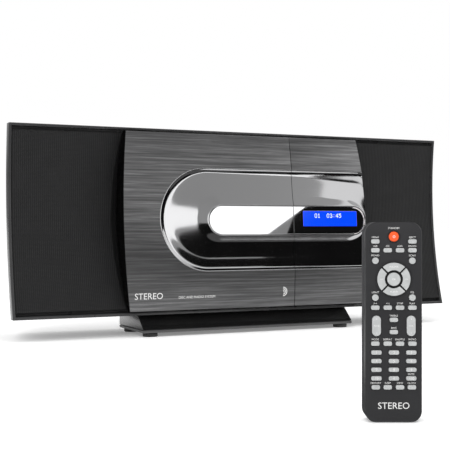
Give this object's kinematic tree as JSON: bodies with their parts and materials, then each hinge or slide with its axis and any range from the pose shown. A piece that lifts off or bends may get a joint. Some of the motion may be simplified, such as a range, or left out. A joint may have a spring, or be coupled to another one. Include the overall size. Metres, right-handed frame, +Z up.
{
  "type": "mini hifi system",
  "caption": "Slim one-piece stereo on a low stand, with speaker grilles, a disc door that slides aside, a blue display and a remote control.",
  "frame": {"origin": "middle of the whole set's footprint, stereo and remote control together, on the surface it stands on", "axes": "+Z up, +X to the right seen from the front, +Y from the front to the back of the stereo"},
  "size_m": [0.53, 0.6066, 0.2237],
  "materials": {
    "frame_black": "satin black moulding",
    "grille_mesh": "fine black mesh",
    "matte_black": "fine-textured black moulding",
    "brushed_panel": "dark grey, brushed across",
    "dish_gloss": "mirror-gloss dark plate",
    "smoked_window": "polished smoked acrylic",
    "chrome_trim": "bright plated",
    "lcd_blue": "backlit blue display",
    "white_nylon": "natural nylon",
    "bright_steel": "zinc-plated steel",
    "cone_paper": "pulp cone with rubber surround",
    "circuit_board": "green solder mask",
    "stand_grey": "dark grey moulding",
    "rubber_foot": "soft black rubber",
    "remote_black": "fine-textured black moulding",
    "key_grey": "light grey silicone",
    "key_red": "orange-red silicone",
    "cell_wrap": "printed steel can"
  },
  "bodies": {
    "stereo": {"front_bezel": "frame_black", "grille_left": "grille_mesh", "grille_right": "grille_mesh", "front_baffle": "matte_black", "display_panel": "brushed_panel", "display_dish": "dish_gloss", "display_window": "smoked_window", "display_trim": "chrome_trim", "lcd_module": "lcd_blue", "door_rod_bottom": "bright_steel", "door_rod_top": "bright_steel", "door_motor": "bright_steel", "disc_deck": "bright_steel", "spindle_motor": "bright_steel", "laser_rod": "bright_steel", "speaker_frame_left": "bright_steel", "speaker_cone_left": "cone_paper", "rear_screw_left": "bright_steel", "speaker_frame_right": "bright_steel", "speaker_cone_right": "cone_paper", "rear_screw_right": "bright_steel", "rear_shell": "matte_black", "main_board": "circuit_board", "power_socket": "matte_black", "aux_socket": "matte_black", "aerial_socket": "matte_black", "usb_socket": "bright_steel", "stand_cover": "matte_black", "stand_base": "stand_grey", "foot_front_left": "rubber_foot", "foot_rear_left": "rubber_foot", "foot_front_right": "rubber_foot", "foot_rear_right": "rubber_foot"},
    "door": {"door_panel": "brushed_panel", "door_dish": "dish_gloss", "door_window": "smoked_window", "door_slider_bottom": "white_nylon", "door_slider_top": "white_nylon"},
    "pinion": {"door_pinion": "white_nylon"},
    "hub": {"disc_hub": "matte_black"},
    "sled": {"laser_sled": "matte_black"},
    "remote": {"remote_front": "remote_black", "remote_back": "remote_black", "remote_keypad": "key_grey", "battery_left": "cell_wrap", "battery_right": "cell_wrap"},
    "cover": {"battery_cover": "remote_black"},
    "button_power": {"button_power": "matte_black"},
    "button_source": {"button_source": "matte_black"},
    "button_play": {"button_play": "matte_black"},
    "button_quieter": {"button_quieter": "matte_black"},
    "button_louder": {"button_louder": "matte_black"},
    "key_power": {"key_power": "key_red"},
    "key_ok": {"key_ok": "key_grey"},
    "key_up": {"key_up": "key_grey"},
    "key_down": {"key_down": "key_grey"},
    "key_left": {"key_left": "key_grey"},
    "key_right": {"key_right": "key_grey"},
    "rocker_left": {"rocker_left": "key_grey"},
    "rocker_right": {"rocker_right": "key_grey"}
  },
  "joints": [
    {"name": "door_slide", "type": "slide", "parent": "stereo", "child": "door", "axis": [-1, 0, 0], "range_m": [0, 0.1215]},
    {"name": "pinion_spin", "type": "hinge", "parent": "stereo", "child": "pinion", "pos_m": [-0.09775, 0.23326, 0.0346], "axis": [0, 0, 1], "range_deg": [-1165, 5]},
    {"name": "disc_spin", "type": "hinge", "parent": "stereo", "child": "hub", "pos_m": [-0.00715, 0.23002, 0.1226], "axis": [0, 1, 0], "continuous": true},
    {"name": "laser_slide", "type": "slide", "parent": "stereo", "child": "sled", "axis": [1, 0, 0], "range_m": [0, 0.029]},
    {"name": "power_press", "type": "slide", "parent": "stereo", "child": "button_power", "axis": [0, 0, -1], "range_m": [0, 0.0012], "stiffness_N_per_m": 300},
    {"name": "source_press", "type": "slide", "parent": "stereo", "child": "button_source", "axis": [0, 0, -1], "range_m": [0, 0.0012], "stiffness_N_per_m": 300},
    {"name": "play_press", "type": "slide", "parent": "stereo", "child": "button_play", "axis": [0, 0, -1], "range_m": [0, 0.0012], "stiffness_N_per_m": 300},
    {"name": "quieter_press", "type": "slide", "parent": "stereo", "child": "button_quieter", "axis": [0, 0, -1], "range_m": [0, 0.0012], "stiffness_N_per_m": 300},
    {"name": "louder_press", "type": "slide", "parent": "stereo", "child": "button_louder", "axis": [0, 0, -1], "range_m": [0, 0.0012], "stiffness_N_per_m": 300},
    {"name": "remote_lift", "type": "slide", "parent": "stereo", "child": "remote", "axis": [0, 0, 1], "range_m": [0, 0.25]},
    {"name": "cover_tip", "type": "hinge", "parent": "remote", "child": "cover", "pos_m": [-0.1516, -0.28155, 0.01], "axis": [-0.9021, 0.4315, 0], "range_deg": [0, 50]},
    {"name": "key_power_press", "type": "slide", "parent": "remote", "child": "key_power", "axis": [0.4315, 0.9021, 0], "range_m": [0, 0.0005], "stiffness_N_per_m": 400},
    {"name": "key_ok_press", "type": "slide", "parent": "remote", "child": "key_ok", "axis": [0.4315, 0.9021, 0], "range_m": [0, 0.0005], "stiffness_N_per_m": 400},
    {"name": "key_up_press", "type": "slide", "parent": "remote", "child": "key_up", "axis": [0.4315, 0.9021, 0], "range_m": [0, 0.0005], "stiffness_N_per_m": 400},
    {"name": "key_down_press", "type": "slide", "parent": "remote", "child": "key_down", "axis": [0.4315, 0.9021, 0], "range_m": [0, 0.0005], "stiffness_N_per_m": 400},
    {"name": "key_left_press", "type": "slide", "parent": "remote", "child": "key_left", "axis": [0.4315, 0.9021, 0], "range_m": [0, 0.0005], "stiffness_N_per_m": 400},
    {"name": "key_right_press", "type": "slide", "parent": "remote", "child": "key_right", "axis": [0.4315, 0.9021, 0], "range_m": [0, 0.0005], "stiffness_N_per_m": 400},
    {"name": "rocker_left_tilt", "type": "hinge", "parent": "remote", "child": "rocker_left", "pos_m": [-0.16763, -0.29106, 0.05798], "axis": [0.9021, -0.4315, 0], "range_deg": [-4, 4], "stiffness_Nm_per_rad": 0.02},
    {"name": "rocker_right_tilt", "type": "hinge", "parent": "remote", "child": "rocker_right", "pos_m": [-0.14894, -0.3, 0.05798], "axis": [0.9021, -0.4315, 0], "range_deg": [-4, 4], "stiffness_Nm_per_rad": 0.02}
  ],
  "couplings": [
    {"joint": "pinion_spin", "follows": "door_slide", "rad_per_m": -166.67}
  ]
}
